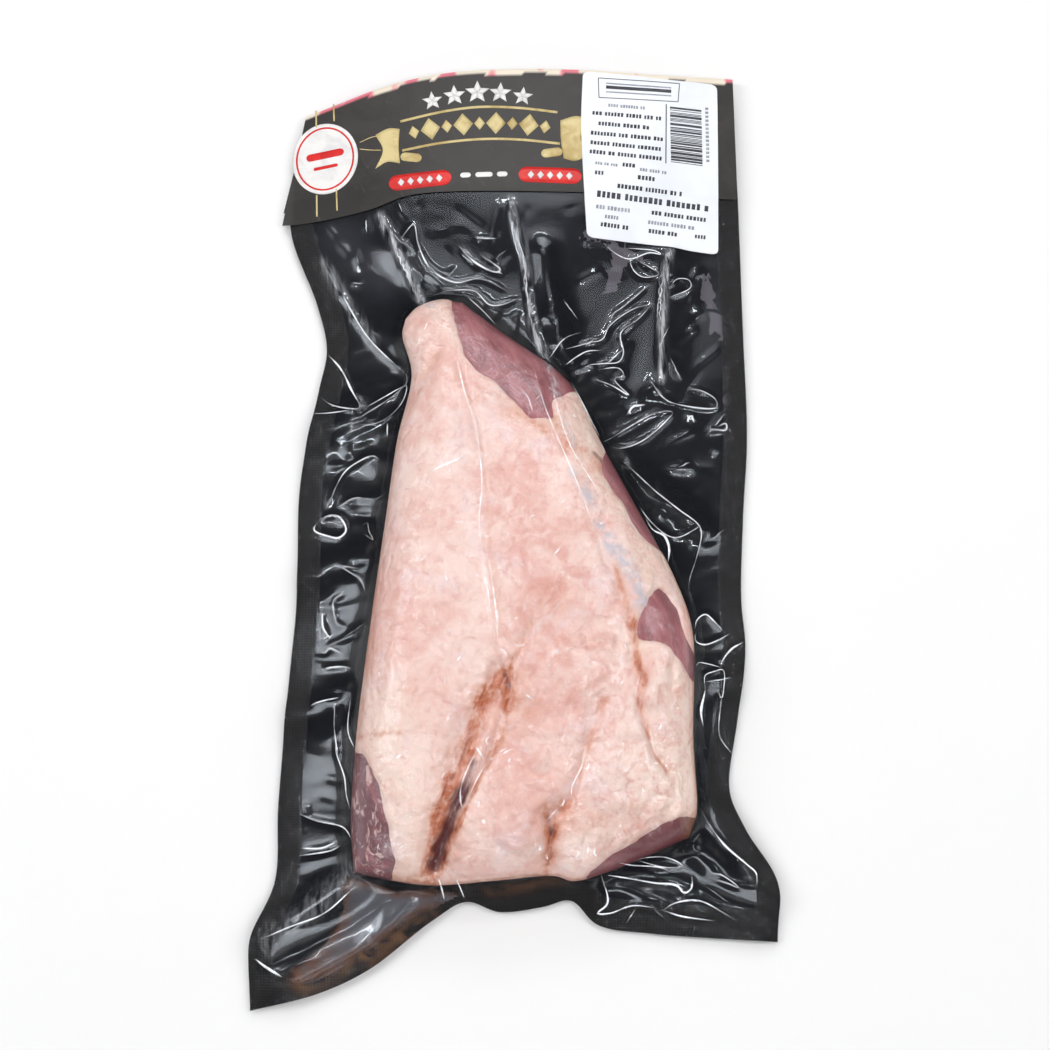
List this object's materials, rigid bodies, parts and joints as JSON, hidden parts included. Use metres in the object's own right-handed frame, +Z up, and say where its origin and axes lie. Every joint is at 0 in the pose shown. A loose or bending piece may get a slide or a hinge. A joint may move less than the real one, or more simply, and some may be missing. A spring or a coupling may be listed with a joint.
{
  "type": "vacuum-packed raw beef cut",
  "caption": "Raw beef cut with a thick fat cap, vacuum sealed in a pouch with a black back and clear front, a folded printed band and a white price label, lying flat.",
  "frame": {"origin": "on the table under the middle of the pack", "axes": "+Z up out of the fat side, +Y along the pack towards the folded band, +X to the right seen from above with the band at the top"},
  "size_m": [0.215, 0.4068, 0.0395],
  "materials": {
    "film": "glossy black pouch film with a clear front",
    "lean": "raw red lean meat, moist under the film",
    "fat": "pale pink beef fat, moist under the film",
    "band": "satin black printed band with gold and red print",
    "label": "white self-adhesive paper label"
  },
  "bodies": {
    "root": {"pouch": "film", "beef_lean": "lean", "fat_cap": "fat", "header_band": "band", "price_label": "label"}
  },
  "joints": []
}
